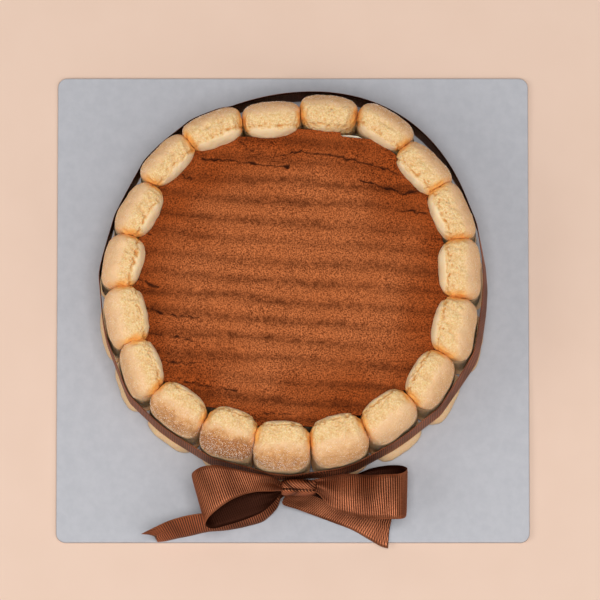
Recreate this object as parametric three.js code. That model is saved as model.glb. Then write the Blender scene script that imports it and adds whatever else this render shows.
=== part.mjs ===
// A round tiramisu on a square cake board: a ring of upright halved ladyfingers round a mascarpone
// core that is dusted with cocoa, tied with a grosgrain ribbon and a bow at the front.
// Millimetres, +Z up. The origin is the middle of the board's underside and the bow faces -Y.
import * as THREE from "three";

// Driving dimensions
const BOARD_SIDE = 254;
const BOARD_THICKNESS = 3;
const BOARD_CORNER = 5;

const CAKE_CENTRE = new THREE.Vector2(-0.4, 7.5);
const TOUCH_GAP = 0.3;

const BISCUIT_HEIGHT = 55.5;
// How far the rounded end draws each side in, and over what height it does so
const INNER_ROUND = { inset: 4.3, height: 9 };
const OUTER_ROUND = { inset: 10, height: 20 };
const SIDE_ROUND = { inset: 7, height: 11 };
const SECTION_POWER = 2.8;
const SECTION_TAPER = 0.06;
// The foot swells outwards below the ribbon's grip, and its rim is rounded off
const FOOT_RIM = { inset: 1.2, height: 3 };
const FOOT_TOP = 9.5;
const FOOT_LEVELS = [0, FOOT_RIM.height, 6.5, FOOT_TOP];
const BISCUIT_POINTS = 24;
const END_STEPS = [0, 0.4, 0.68, 0.88, 0.97, 1];

// One row for each biscuit: bearing of its middle from +X in degrees, distance of its middle from
// the cake's axis, its turn away from facing straight out in degrees, its width, its thickness, how
// deep the dent along its sugared side is and how far its foot swells
const BISCUITS = [
  [97, 89.3, -3, 31.2, 20.9, 0.4, 0.8],
  [78, 93.8, 6.5, 30.6, 20.6, 0.3, 0.8],
  [59.5, 97.5, -2.5, 31.8, 20, 0.5, 0.8],
  [41, 93.5, 3, 31.5, 21.5, 0.6, 0.8],
  [23.5, 93.5, -1.5, 32.5, 22.4, 1.6, 1],
  [4, 90.5, -2, 32.5, 24.3, 1.4, 1.8],
  [-16.5, 91, 7, 33, 24.2, 1.3, 4.2],
  [-36, 91, 9, 30.8, 21.5, 0.4, 4.4],
  [-55, 89.6, 3, 30.2, 22.5, 0.2, 4.5],
  [-74, 89.7, 1, 30.6, 25.5, 0.2, 1.6],
  [-93.5, 89.5, 1.5, 30.3, 25.2, 0.1, 1],
  [-112, 89.3, 7, 29.5, 26.2, 0.3, 1.8],
  [-131, 92, 4.5, 31, 22.3, 0.4, 3.2],
  [-149.5, 93.3, -13, 31, 21, 0.3, 3],
  [-167.5, 91, -2.5, 33, 23, 0.4, 2.8],
  [173.5, 91.4, -6.5, 29.5, 22, 0.5, 1.6],
  [155, 90.5, -4, 30.5, 21.3, 0.3, 1],
  [135.5, 93.5, 0, 31.4, 20, 0.5, 0.8],
  [117, 93.3, -5.2, 32.2, 21, 0.8, 0.8],
];

const CREAM_TOP = 45;
const CREAM_LARGEST_RADIUS = 87;
const CREAM_POINTS = 120;
const COCOA_THICKNESS = 1.6;
// The spatula's strokes: parallel troughs with broad crowns between them
const STROKE_PITCH = 10.8;
const STROKE_DEPTH = 1.4;
const STROKE_TILT = THREE.MathUtils.degToRad(-4);
const STROKE_PHASES = [0, 0.16, 0.5, 0.84];
const STROKE_COLUMNS = 12;

const RIBBON_WIDTH = 26;
const RIBBON_THICKNESS = 0.8;
const RIBBON_BOTTOM = 13;
const RIBBON_CLEARANCE = 0.6;
const RIBBON_POINTS = 120;
const HULL_DIRECTIONS = 360;
// Behind and to the right the band stands off the biscuits in a bulge round this bearing
const BAND_LOOSE_RADIUS = 101.5;
const BAND_BULGE = 7;
const BAND_BULGE_BEARING = THREE.MathUtils.degToRad(58);
const BAND_BULGE_POWER = 6;
// To the right its lower edge lies further out than its upper one
const BAND_LEAN = 3;
const BAND_LEAN_BEARING = THREE.MathUtils.degToRad(-8);
const BAND_LEAN_POWER = 8;
const KNOT_BEARING = -90.5;
// Towards the knot the band narrows over this many degrees to this share of its width
const GATHER_DEGREES = 13;
const GATHER_SHARE = 0.5;

const KNOT_CENTRE = new THREE.Vector3(3.2, -101, 25.5);
const KNOT_HALF = new THREE.Vector3(9.5, 4.2, 9);

const colours = {
  board: 0xb9bcc4,
  cream: 0xf1e3c6,
  cocoa: 0x6b3217,
  biscuit: 0xe8c48c,
  ribbon: 0x5a2d1e,
};

function material(color, roughness) {
  return new THREE.MeshStandardMaterial({ color, roughness, metalness: 0 });
}

const biscuitMaterial = material(colours.biscuit, 0.85);
const ribbonMaterial = material(colours.ribbon, 0.45);

function named(name, geometry, finish) {
  const mesh = new THREE.Mesh(geometry, finish);
  mesh.name = name;
  return mesh;
}

// A closed skin over rings of equally many points that run anticlockwise seen from the end that the
// rings move towards. Open stacks of rings get a flat cap at both ends; a closed stack joins up.
function loft(rings, closed = false) {
  const size = rings[0].length;
  const positions = rings.flat().flatMap((point) => [point.x, point.y, point.z]);
  const index = [];
  const spans = closed ? rings.length : rings.length - 1;
  for (let level = 0; level < spans; level += 1) {
    const low = level * size;
    const high = ((level + 1) % rings.length) * size;
    for (let i = 0; i < size; i += 1) {
      const next = (i + 1) % size;
      index.push(low + i, low + next, high + next);
      index.push(low + i, high + next, high + i);
    }
  }
  if (!closed) {
    const last = (rings.length - 1) * size;
    for (let i = 1; i < size - 1; i += 1) {
      index.push(0, i + 1, i);
      index.push(last, last + i, last + i + 1);
    }
  }
  const geometry = new THREE.BufferGeometry();
  geometry.setAttribute("position", new THREE.Float32BufferAttribute(positions, 3));
  geometry.setIndex(index);
  return geometry;
}

// Cake board
function cakeBoard() {
  const half = BOARD_SIDE / 2;
  const inner = half - BOARD_CORNER;
  const outline = new THREE.Shape();
  outline.moveTo(-inner, -half);
  outline.lineTo(inner, -half);
  outline.absarc(inner, -inner, BOARD_CORNER, -Math.PI / 2, 0);
  outline.lineTo(half, inner);
  outline.absarc(inner, inner, BOARD_CORNER, 0, Math.PI / 2);
  outline.lineTo(-inner, half);
  outline.absarc(-inner, inner, BOARD_CORNER, Math.PI / 2, Math.PI);
  outline.lineTo(-half, -inner);
  outline.absarc(-inner, -inner, BOARD_CORNER, Math.PI, Math.PI * 1.5);
  return new THREE.ExtrudeGeometry(outline, {
    depth: BOARD_THICKNESS,
    bevelEnabled: false,
    curveSegments: 6,
  });
}

// Ladyfingers
function biscuitPlace(row) {
  const [bearing, distance, turn, width, thickness, dent, foot] = row;
  const out = THREE.MathUtils.degToRad(bearing);
  const facing = THREE.MathUtils.degToRad(bearing + turn);
  return {
    centre: new THREE.Vector2(Math.cos(out), Math.sin(out)).multiplyScalar(distance).add(CAKE_CENTRE),
    outward: new THREE.Vector2(Math.cos(facing), Math.sin(facing)),
    along: new THREE.Vector2(-Math.sin(facing), Math.cos(facing)),
    width,
    thickness,
    dent,
    foot,
  };
}

const places = BISCUITS.map(biscuitPlace);

// Where a biscuit presses against the next one round the ring, both end on one upright plane
function contactPlane(from, to) {
  const normal = to.centre.clone().sub(from.centre);
  const distance = normal.length();
  normal.normalize();
  const reach = (distance * from.width) / (from.width + to.width);
  return { normal, offset: from.centre.dot(normal) + reach - TOUCH_GAP / 2 };
}

function roundedBy(round, height) {
  const rise = Math.max(0, (height - (BISCUIT_HEIGHT - round.height)) / round.height);
  return round.inset * (1 - Math.sqrt(Math.max(0, 1 - rise * rise)));
}

function footSwell(foot, height) {
  const rim = FOOT_RIM.inset * Math.max(0, 1 - height / FOOT_RIM.height);
  const rise = Math.max(0, height - FOOT_RIM.height) / (FOOT_TOP - FOOT_RIM.height);
  return foot * Math.max(0, 1 - rise * rise) - rim;
}

function superellipse(value) {
  return Math.sign(value) * Math.abs(value) ** (2 / SECTION_POWER);
}

// The outline of one biscuit at one height above the board, in plan
function biscuitSection(index, height) {
  const place = places[index];
  const planes = [1, places.length - 1].map((step) =>
    contactPlane(place, places[(index + step) % places.length]));
  const inner = -place.thickness / 2 + roundedBy(INNER_ROUND, height);
  const outer = place.thickness / 2 + footSwell(place.foot, height) - roundedBy(OUTER_ROUND, height);
  const halfWidth = place.width / 2 - roundedBy(SIDE_ROUND, height);
  const middle = (inner + outer) / 2;
  const halfDepth = (outer - inner) / 2;
  const points = [];
  for (let i = 0; i < BISCUIT_POINTS; i += 1) {
    const angle = ((i + 0.5) / BISCUIT_POINTS) * 2 * Math.PI;
    const depth = superellipse(Math.cos(angle));
    const side = superellipse(Math.sin(angle));
    const dent = depth > 0 ? place.dent * (1 - side * side) : 0;
    const point = place.centre.clone();
    point.addScaledVector(place.outward, middle + halfDepth * depth - dent);
    point.addScaledVector(place.along, halfWidth * side * (1 + SECTION_TAPER * depth));
    for (const plane of planes) {
      const beyond = point.dot(plane.normal) - plane.offset;
      if (beyond > 0) {
        point.addScaledVector(plane.normal, -beyond);
      }
    }
    points.push(point);
  }
  return points;
}

function ladyfinger(index) {
  const shoulder = BISCUIT_HEIGHT - OUTER_ROUND.height;
  const heights = [...FOOT_LEVELS, ...END_STEPS.map((step) => shoulder + step * OUTER_ROUND.height)];
  return loft(heights.map((height) => biscuitSection(index, height).map((point) =>
    new THREE.Vector3(point.x, point.y, BOARD_THICKNESS + TOUCH_GAP + height))));
}

// Where a ray from the cake's axis first meets a closed outline
function rayReach(direction, outline) {
  let nearest = Infinity;
  outline.forEach((from, i) => {
    const to = outline[(i + 1) % outline.length];
    const edge = to.clone().sub(from);
    const start = from.clone().sub(CAKE_CENTRE);
    const crossing = direction.cross(edge);
    if (Math.abs(crossing) > 1e-9) {
      const reach = start.cross(edge) / crossing;
      const share = start.cross(direction) / crossing;
      if (reach > 0 && share >= 0 && share <= 1) {
        nearest = Math.min(nearest, reach);
      }
    }
  });
  return nearest;
}

// The cream fills the ring up to the flat faces of the biscuits
function creamRadii() {
  const sections = places.map((place, index) => biscuitSection(index, CREAM_TOP / 2));
  const reaches = Array.from({ length: CREAM_POINTS }, (unused, i) => {
    const angle = (i / CREAM_POINTS) * 2 * Math.PI;
    const direction = new THREE.Vector2(Math.cos(angle), Math.sin(angle));
    return Math.min(CREAM_LARGEST_RADIUS, ...sections.map((outline) => rayReach(direction, outline)));
  });
  return reaches.map((reach, i) => {
    const before = reaches[(i + CREAM_POINTS - 1) % CREAM_POINTS];
    const after = reaches[(i + 1) % CREAM_POINTS];
    return Math.min(before, reach, after) - TOUCH_GAP;
  });
}

const creamEdge = creamRadii();

function creamRadiusAt(angle) {
  const turns = angle / (2 * Math.PI);
  const place = (turns - Math.floor(turns)) * CREAM_POINTS;
  const low = Math.floor(place) % CREAM_POINTS;
  const share = place - Math.floor(place);
  return creamEdge[low] * (1 - share) + creamEdge[(low + 1) % CREAM_POINTS] * share;
}

function mascarponeCream() {
  const bottom = BOARD_THICKNESS + TOUCH_GAP;
  return loft([bottom, CREAM_TOP].map((z) => creamEdge.map((radius, i) => {
    const angle = (i / CREAM_POINTS) * 2 * Math.PI;
    const x = CAKE_CENTRE.x + radius * Math.cos(angle);
    const y = CAKE_CENTRE.y + radius * Math.sin(angle);
    return new THREE.Vector3(x, y, z);
  })));
}

// Cocoa: rows of points along the strokes, each row running from edge to edge of the cream
function strokeProfile(phase) {
  const fromTrough = Math.min(phase, 1 - phase) * 2;
  return STROKE_DEPTH * (Math.sqrt(fromTrough) - 1);
}

function chordEnd(across, side) {
  let low = 0;
  let high = CREAM_LARGEST_RADIUS;
  for (let i = 0; i < 40; i += 1) {
    const along = (low + high) / 2;
    const angle = Math.atan2(across, side * along) + STROKE_TILT;
    const inside = Math.hypot(across, along) < creamRadiusAt(angle) - TOUCH_GAP;
    low = inside ? along : low;
    high = inside ? high : along;
  }
  return side * low;
}

function cocoaDusting() {
  const underside = CREAM_TOP + TOUCH_GAP;
  const crown = underside + COCOA_THICKNESS + STROKE_DEPTH;
  const alongAxis = new THREE.Vector2(Math.cos(STROKE_TILT), Math.sin(STROKE_TILT));
  const acrossAxis = new THREE.Vector2(-alongAxis.y, alongAxis.x);
  const toPoint = (along, across, z) => new THREE.Vector3(
    CAKE_CENTRE.x + along * alongAxis.x + across * acrossAxis.x,
    CAKE_CENTRE.y + along * alongAxis.y + across * acrossAxis.y,
    z,
  );
  const rows = [];
  const strokes = Math.floor(CREAM_LARGEST_RADIUS / STROKE_PITCH);
  for (let stroke = -strokes; stroke <= strokes; stroke += 1) {
    for (const phase of STROKE_PHASES) {
      const across = (stroke + phase) * STROKE_PITCH;
      const right = chordEnd(across, 1);
      const left = chordEnd(across, -1);
      if (right - left > STROKE_PITCH) {
        rows.push({ across, left, right, height: strokeProfile(phase) });
      }
    }
  }
  const wave = (along, across) => 0.35 * Math.sin(along / 19 + across / 31) * Math.cos(across / 23);
  const top = rows.flatMap((row) => Array.from({ length: STROKE_COLUMNS + 1 }, (unused, i) => {
    const along = row.left + ((row.right - row.left) * i) / STROKE_COLUMNS;
    const z = crown + row.height + wave(along, row.across);
    return toPoint(along, row.across, z);
  }));
  const width = STROKE_COLUMNS + 1;
  const index = [];
  for (let r = 0; r < rows.length - 1; r += 1) {
    for (let c = 0; c < STROKE_COLUMNS; c += 1) {
      const corner = r * width + c;
      index.push(corner, corner + 1, corner + width + 1);
      index.push(corner, corner + width + 1, corner + width);
    }
  }
  const lastRow = (rows.length - 1) * width;
  const rim = [];
  for (let c = 0; c < STROKE_COLUMNS; c += 1) rim.push(c);
  for (let r = 0; r < rows.length - 1; r += 1) rim.push(r * width + STROKE_COLUMNS);
  for (let c = STROKE_COLUMNS; c > 0; c -= 1) rim.push(lastRow + c);
  for (let r = rows.length - 1; r > 0; r -= 1) rim.push(r * width);
  const below = rim.map((corner) => new THREE.Vector3(top[corner].x, top[corner].y, underside));
  const middle = top.length + below.length;
  rim.forEach((corner, i) => {
    const next = (i + 1) % rim.length;
    index.push(corner, top.length + i, top.length + next);
    index.push(corner, top.length + next, rim[next]);
    index.push(top.length + i, middle, top.length + next);
  });
  const points = [...top, ...below, toPoint(0, 0, underside)];
  const geometry = new THREE.BufferGeometry();
  geometry.setAttribute("position", new THREE.Float32BufferAttribute(
    points.flatMap((point) => [point.x, point.y, point.z]), 3));
  geometry.setIndex(index);
  return geometry;
}

// Ribbon band: it is pulled straight from one biscuit to the next, so it follows their hull, except
// where it bulges away from them
function hullSupports(height) {
  const points = places.flatMap((place, index) => biscuitSection(index, height));
  return Array.from({ length: HULL_DIRECTIONS }, (unused, i) => {
    const facing = (i / HULL_DIRECTIONS) * 2 * Math.PI;
    const direction = new THREE.Vector2(Math.cos(facing), Math.sin(facing));
    return Math.max(...points.map((point) => point.clone().sub(CAKE_CENTRE).dot(direction)));
  });
}

function hullRadius(supports, angle) {
  return Math.min(...supports.map((support, i) => {
    const lean = Math.cos(angle - (i / HULL_DIRECTIONS) * 2 * Math.PI);
    return lean > 0.5 ? support / lean : Infinity;
  }));
}

function bandLean(angle) {
  return BAND_LEAN * Math.max(0, Math.cos(angle - BAND_LEAN_BEARING)) ** BAND_LEAN_POWER;
}

function looseRadius(angle) {
  const near = Math.max(0, Math.cos(angle - BAND_BULGE_BEARING));
  return BAND_LOOSE_RADIUS + BAND_BULGE * near ** BAND_BULGE_POWER;
}

function ribbonBand() {
  const low = hullSupports(RIBBON_BOTTOM - BOARD_THICKNESS);
  const high = hullSupports(RIBBON_BOTTOM + RIBBON_WIDTH / 2 - BOARD_THICKNESS);
  const middle = RIBBON_BOTTOM + RIBBON_WIDTH / 2;
  const rings = [];
  for (let i = 0; i < RIBBON_POINTS; i += 1) {
    const degrees = (i / RIBBON_POINTS) * 360 + KNOT_BEARING;
    const angle = THREE.MathUtils.degToRad(degrees);
    const fromKnot = Math.min(i, RIBBON_POINTS - i) * (360 / RIBBON_POINTS);
    const gather = Math.max(0, 1 - fromKnot / GATHER_DEGREES);
    const half = (RIBBON_WIDTH / 2) * (1 - (1 - GATHER_SHARE) * gather);
    const lean = bandLean(angle);
    const at = (hull, out, z) => {
      const inner = Math.max(hullRadius(hull, angle) + RIBBON_CLEARANCE, looseRadius(angle));
      const radius = inner + out;
      return new THREE.Vector3(
        CAKE_CENTRE.x + radius * Math.cos(angle),
        CAKE_CENTRE.y + radius * Math.sin(angle),
        z,
      );
    };
    rings.push([
      at(low, lean, middle - half),
      at(high, 0, middle + half),
      at(high, RIBBON_THICKNESS, middle + half),
      at(low, lean + RIBBON_THICKNESS, middle - half),
    ]);
  }
  return loft(rings, true);
}

// Bow: each strip is ruled between its rear edge and its front edge
const BOW_STRIPS = {
  bow_loop_left: {
    steps: 34,
    rear: [
      [-8, -98.5, 34.5], [-12.5, -97, 38], [-23, -95.5, 42], [-33, -93.5, 44], [-41, -92, 44.5],
      [-48.5, -92.5, 42.5], [-53, -94.5, 38.5], [-54, -96, 34], [-52.5, -97.5, 30.5], [-46, -98.5, 29],
      [-34, -99, 28.5], [-22, -99.5, 28], [-13.5, -100, 26], [-8, -100.5, 24.5],
    ],
    front: [
      [-7.5, -104, 32.5], [-10.5, -104.8, 36.5], [-19.5, -106, 41.5], [-27, -108.2, 43.8],
      [-34, -111.5, 44.5], [-41, -116.3, 43], [-45.5, -120.3, 39.5], [-46.5, -123, 34.5],
      [-43, -124, 30.5], [-35.5, -122, 28.5], [-25, -118.5, 27.5], [-16.5, -114.5, 26.5],
      [-11, -109.5, 25], [-7.5, -105.5, 23.5],
    ],
  },
  bow_loop_right: {
    steps: 34,
    rear: [
      [13.5, -97.2, 32], [21.5, -95.5, 31.5], [30, -94.4, 31.5], [39.5, -95.2, 31.5], [49, -95, 34],
      [56.5, -94.5, 32], [60, -92.5, 28], [61, -89.8, 23], [57.5, -87.5, 17], [50, -87, 13.5],
      [41.5, -88.5, 12.5], [31, -93.3, 14.5], [20, -98, 18], [13.5, -99.5, 21],
    ],
    front: [
      [13.5, -105.4, 31.5], [20.5, -113.2, 33], [31, -117.6, 34.5], [40.5, -119.4, 35.5],
      [50, -119.6, 35],
      [56.5, -119, 31], [59.5, -117.5, 27], [60.5, -115, 22], [57.5, -112.5, 16], [50, -110.5, 13],
      [40.5, -109.5, 12], [29.5, -109, 14], [19, -107.5, 17.5], [13.5, -105.5, 20],
    ],
  },
  bow_tail_left: {
    steps: 22,
    rear: [
      [-8, -102.5, 15], [-12, -105.5, 18], [-19, -109, 22], [-28.5, -112.5, 25], [-38, -114, 26],
      [-48, -115, 26.5], [-57.5, -116.6, 27], [-66.5, -119.3, 27], [-74, -122.8, 27], [-81, -126.3, 26.5],
    ],
    front: [
      [-6.5, -104.5, 11.5], [-9, -109.5, 8], [-15.5, -115.5, 4.4], [-25, -118.5, 4], [-35, -120.5, 4],
      [-46, -121.5, 4], [-54.5, -123.5, 4], [-62, -125, 4], [-68.5, -126.5, 4], [-72.5, -127, 4],
    ],
  },
  bow_tail_right: {
    steps: 20,
    rear: [
      [3, -100.5, 14.5], [10.5, -101.5, 12], [20, -102, 8.5], [31, -101.5, 6], [41.5, -102.5, 4.6],
      [49, -104, 4.2], [53.5, -105.5, 4.2], [55, -106, 4.2],
    ],
    front: [
      [-5.5, -107.8, 13], [2.5, -110.2, 9.5], [12, -113.2, 6], [22, -116.7, 4.4], [32, -120.6, 4],
      [40.5, -125.5, 4], [47.5, -129.5, 4], [51, -130.5, 4],
    ],
  },
};

function smoothCurve(points) {
  const through = points.map((point) => new THREE.Vector3(...point));
  return new THREE.CatmullRomCurve3(through, false, "centripetal");
}

function ribbonStrip({ rear, front, steps }) {
  const rearPoints = smoothCurve(rear).getPoints(steps);
  const frontPoints = smoothCurve(front).getPoints(steps);
  const middles = rearPoints.map((point, i) => point.clone().add(frontPoints[i]).multiplyScalar(0.5));
  return loft(rearPoints.map((rearPoint, i) => {
    const frontPoint = frontPoints[i];
    const before = middles[Math.max(0, i - 1)];
    const after = middles[Math.min(steps, i + 1)];
    const across = frontPoint.clone().sub(rearPoint);
    const normal = after.clone().sub(before).cross(across).normalize().multiplyScalar(RIBBON_THICKNESS / 2);
    return [
      rearPoint.clone().sub(normal),
      frontPoint.clone().sub(normal),
      frontPoint.clone().add(normal),
      rearPoint.clone().add(normal),
    ];
  }));
}

// Knot: one turn of ribbon round the gathered strips, waisted like a barrel with soft corners
function bowKnot() {
  const rings = [];
  const levels = 8;
  const points = 20;
  for (let level = 0; level <= levels; level += 1) {
    const across = -1 + (2 * level) / levels;
    const swell = 0.72 + 0.28 * Math.sqrt(Math.max(0, 1 - across ** 4));
    const ring = [];
    for (let i = 0; i < points; i += 1) {
      const angle = (i / points) * 2 * Math.PI;
      ring.push(new THREE.Vector3(
        KNOT_CENTRE.x + KNOT_HALF.x * across,
        KNOT_CENTRE.y + KNOT_HALF.y * swell * superellipse(Math.cos(angle)),
        KNOT_CENTRE.z + KNOT_HALF.z * swell * superellipse(Math.sin(angle)),
      ));
    }
    rings.push(ring);
  }
  return loft(rings);
}

const tiramisu = new THREE.Group();
tiramisu.add(named("cake_board", cakeBoard(), material(colours.board, 0.6)));
tiramisu.add(named("mascarpone_cream", mascarponeCream(), material(colours.cream, 0.7)));
tiramisu.add(named("cocoa_dusting", cocoaDusting(), material(colours.cocoa, 0.95)));
places.forEach((place, index) => {
  const number = String(index + 1).padStart(2, "0");
  tiramisu.add(named(`ladyfinger_${number}`, ladyfinger(index), biscuitMaterial));
});
tiramisu.add(named("ribbon_band", ribbonBand(), ribbonMaterial));
tiramisu.add(named("bow_knot", bowKnot(), ribbonMaterial));
for (const [name, strip] of Object.entries(BOW_STRIPS)) {
  tiramisu.add(named(name, ribbonStrip(strip), ribbonMaterial));
}

export default tiramisu;
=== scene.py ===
# Looks of the tiramisu on its board: porous sugared ladyfingers, a granular cocoa top, and a
# grosgrain ribbon with its bow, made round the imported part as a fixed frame.
import itertools
import math

import bpy
import numpy as np
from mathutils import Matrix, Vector


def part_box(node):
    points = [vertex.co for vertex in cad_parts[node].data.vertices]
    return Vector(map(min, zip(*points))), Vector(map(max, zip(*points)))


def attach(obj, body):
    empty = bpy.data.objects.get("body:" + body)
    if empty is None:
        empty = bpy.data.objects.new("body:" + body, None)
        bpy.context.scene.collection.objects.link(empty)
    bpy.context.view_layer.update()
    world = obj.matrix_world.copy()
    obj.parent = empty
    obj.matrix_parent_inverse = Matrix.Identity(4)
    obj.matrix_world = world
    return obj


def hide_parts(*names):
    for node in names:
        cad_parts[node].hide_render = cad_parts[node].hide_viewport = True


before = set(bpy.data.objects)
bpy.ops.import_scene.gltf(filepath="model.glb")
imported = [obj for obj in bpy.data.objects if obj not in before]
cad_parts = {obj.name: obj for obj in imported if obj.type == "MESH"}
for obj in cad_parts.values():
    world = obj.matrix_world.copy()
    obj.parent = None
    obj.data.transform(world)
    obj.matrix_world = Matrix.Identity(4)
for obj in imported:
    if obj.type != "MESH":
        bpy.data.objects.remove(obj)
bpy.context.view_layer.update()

# Sizes below are millimetres in the part's own frame; meshes are made in metres
MM = 0.001

board_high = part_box("cake_board")[1]
BOARD_TOP = board_high.z / MM
BOARD_HALF = board_high.x / MM
BOARD_CORNER = 5
BOARD_CORNER_STEPS = 8
BOARD_BEVEL = 0.5
BOARD_BEVEL_STEPS = 4

CAKE_CENTRE = np.array([-0.4, 7.5])
TOUCH_GAP = 0.3
BISCUIT_HEIGHT = 55.5
INNER_ROUND = {"inset": 4.3, "height": 9}
OUTER_ROUND = {"inset": 10, "height": 20}
SIDE_ROUND = {"inset": 7, "height": 11}
SECTION_POWER = 2.8
SECTION_TAPER = 0.06
FOOT_RIM = {"inset": 1.2, "height": 3}
FOOT_TOP = 9.5
# Biscuits with a thin dark line of painted shadow at about the height of the ribbon's upper edge, how high
# and how wide
SHADOW_LINE_BISCUITS = (5, 6, 7, 8, 15, 16)
SHADOW_LINE_HEIGHT = 40.2
SHADOW_LINE_HALF = 1.0
# How far the middle of a biscuit's end stands over the rim of it, and the room for its bumps
END_CROWN = 0.7
END_ROOM = 0.5
# Low down the biscuits are plain sponge, and between these heights the baked look and the painted glow in
# the seams fade in
BAKED_FROM = 38
BAKED_TO = 48
# How far the skin stands out, and how deep the crevice and the wide and small holes are
SKIN_RELIEF = 0.2
CREVICE_DEPTH = 0.6
WIDE_HOLE_DEPTH = 0.75
SMALL_HOLE_DEPTH = 0.4
# How far apart in the noise two biscuits lie, so that no two look alike
CRUMB_STEP = 137.0
# How far the lowest bumps stay over the board
FOOT_CLEARANCE = 0.05

# Bearing and distance of its middle, turn, width, thickness, dent and foot, as in the part
BISCUITS = [
    (97, 89.3, -3, 31.2, 20.9, 0.4, 0.8),
    (78, 93.8, 6.5, 30.6, 20.6, 0.3, 0.8),
    (59.5, 97.5, -2.5, 31.8, 20, 0.5, 0.8),
    (41, 93.5, 3, 31.5, 21.5, 0.6, 0.8),
    (23.5, 93.5, -1.5, 32.5, 22.4, 1.6, 1),
    (4, 90.5, -2, 32.5, 24.3, 1.4, 1.8),
    (-16.5, 91, 7, 33, 24.2, 1.3, 4.2),
    (-36, 91, 9, 30.8, 21.5, 0.4, 4.4),
    (-55, 89.6, 3, 30.2, 22.5, 0.2, 4.5),
    (-74, 89.7, 1, 30.6, 25.5, 0.2, 1.6),
    (-93.5, 89.5, 1.5, 30.3, 25.2, 0.1, 1),
    (-112, 89.3, 7, 29.5, 26.2, 0.3, 1.8),
    (-131, 92, 4.5, 31, 22.3, 0.4, 3.2),
    (-149.5, 93.3, -13, 31, 21, 0.3, 3),
    (-167.5, 91, -2.5, 33, 23, 0.4, 2.8),
    (173.5, 91.4, -6.5, 29.5, 22, 0.5, 1.6),
    (155, 90.5, -4, 30.5, 21.3, 0.3, 1),
    (135.5, 93.5, 0, 31.4, 20, 0.5, 0.8),
    (117, 93.3, -5.2, 32.2, 21, 0.8, 0.8),
]
# How each was baked: width of the pale base skin, how coarse the crumb is beside it, where the
# sugared crust starts as a share of the thickness, how brown it is and how many grains it holds
BAKES = [
    (3.4, 0.7, 0.55, 0.35, 0.45),
    (0.6, 1.1, 0.62, 0.35, 0.45),
    (2.8, 0.6, 0.55, 0.40, 0.45),
    (3.0, 0.7, 0.60, 0.30, 0.20),
    (3.8, 0.9, 0.62, 0.12, 0.10),
    (4.0, 0.9, 0.62, 0.12, 0.12),
    (3.4, 0.8, 0.60, 0.15, 0.12),
    (2.6, 0.7, 0.58, 0.25, 0.15),
    (2.0, 0.6, 0.52, 0.10, 0.20),
    (1.8, 0.7, 0.50, 0.45, 0.32),
    (1.9, 0.9, 0.50, 0.85, 0.80),
    (1.8, 0.6, 0.44, 1.70, 1.00),
    (2.0, 0.6, 0.48, 0.80, 0.60),
    (2.8, 0.7, 0.55, 0.25, 0.20),
    (3.0, 0.9, 0.58, 0.12, 0.15),
    (3.4, 1.0, 0.50, 0.12, 0.12),
    (3.4, 0.9, 0.55, 0.14, 0.08),
    (3.0, 0.7, 0.58, 0.25, 0.18),
    (3.6, 0.7, 0.60, 0.35, 0.35),
]

STROKE_PITCH = 10.8
STROKE_DEPTH = 1.4
STROKE_TILT = math.radians(-4)
COCOA_THICKNESS = 1.6
COCOA_THINNEST = 0.2
COCOA_LARGEST_RADIUS = 88
CRACK_DEPTH = 0.9
CRACK_HALF_WIDTH = 0.24
# Cracks where one stroke of the spatula laps over the last, the open ones first
OPEN_CRACKS = 4
COCOA_CRACKS = [
    [(-48.5, 74), (-38, 73), (-23, 71.5), (-2.5, 69.5)],
    [(0, 76.5), (5, 78), (25.5, 74.5), (39, 71), (49.5, 68), (57.5, 65)],
    [(36, 61.5), (49.5, 58.5), (59, 55), (71, 56.5)],
    [(55, 46), (64, 45.5), (71, 43.5)],
    [(68.5, 30.5), (77.5, 29)],
    [(-28.5, 83.5), (-22, 78), (-16.5, 76.5)],
    [(-6, 76), (-0.5, 77.5)],
    [(-59.5, 65.5), (-54.5, 62.5)],
    [(-77, 33), (-72.5, 31.5)],
    [(-84, 8.5), (-77, 6), (-71.5, 4)],
    [(-78, -7), (-69, -10.5), (-50, -13)],
    [(-77, -20.5), (-63.5, -22.5), (-53, -25)],
    [(-71.5, -35.5), (-58, -37.5), (-46.5, -38)],
    [(-58, -47.5), (-50, -49), (-36.5, -51.5), (-28.5, -52)],
    [(-15, -64.5), (-1.5, -65)],
]

RIBBON_WIDTH = 26
RIBBON_THICKNESS = 0.6
RIBBON_BOTTOM = 13
RIBBON_CLEARANCE = 0.7
BAND_LOOSE_RADIUS = 101.5
BAND_BULGE = 7
BAND_BULGE_BEARING = math.radians(58)
BAND_BULGE_POWER = 6
BAND_LEAN = 3
BAND_LEAN_BEARING = math.radians(-8)
BAND_LEAN_POWER = 8
KNOT_BEARING = math.radians(-90.5)
GATHER_DEGREES = 13
GATHER_SHARE = 0.5
# Pleats across the ribbon's width where it is gathered, how deep, and over what length they fade
PLEATS = 1.5
BAND_PLEATS = {"depth": 0.55, "from": 4, "to": 24}
BOW_PLEATS = {"depth": 0.8, "from": 3, "to": 26}
# How far the band's ribs lean over its width at the knot, and over what length they straighten
BAND_SLANT = {"lean": 14, "from": 2, "to": 22}
# Where along a strip its crown across the width rises and falls
BELLY_RISE = (6, 26)
BELLY_FALL = (36, 54)
# How far before its end a trimmed strip starts to be cut askew
TRIM_LENGTH = 14
RIB_PITCH = 1.2
RIB_HEIGHT = 0.2
SELVEDGE = 0.7

KNOT_CENTRE = np.array([3.2, -101, 25.5])
KNOT_HALF = np.array([9.5, 4.2, 9])
KNOT_FOLD = {"angle": 2.2, "half": 0.14, "depth": 1.4}
KNOT_CREASE_DEPTH = 0.5
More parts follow.
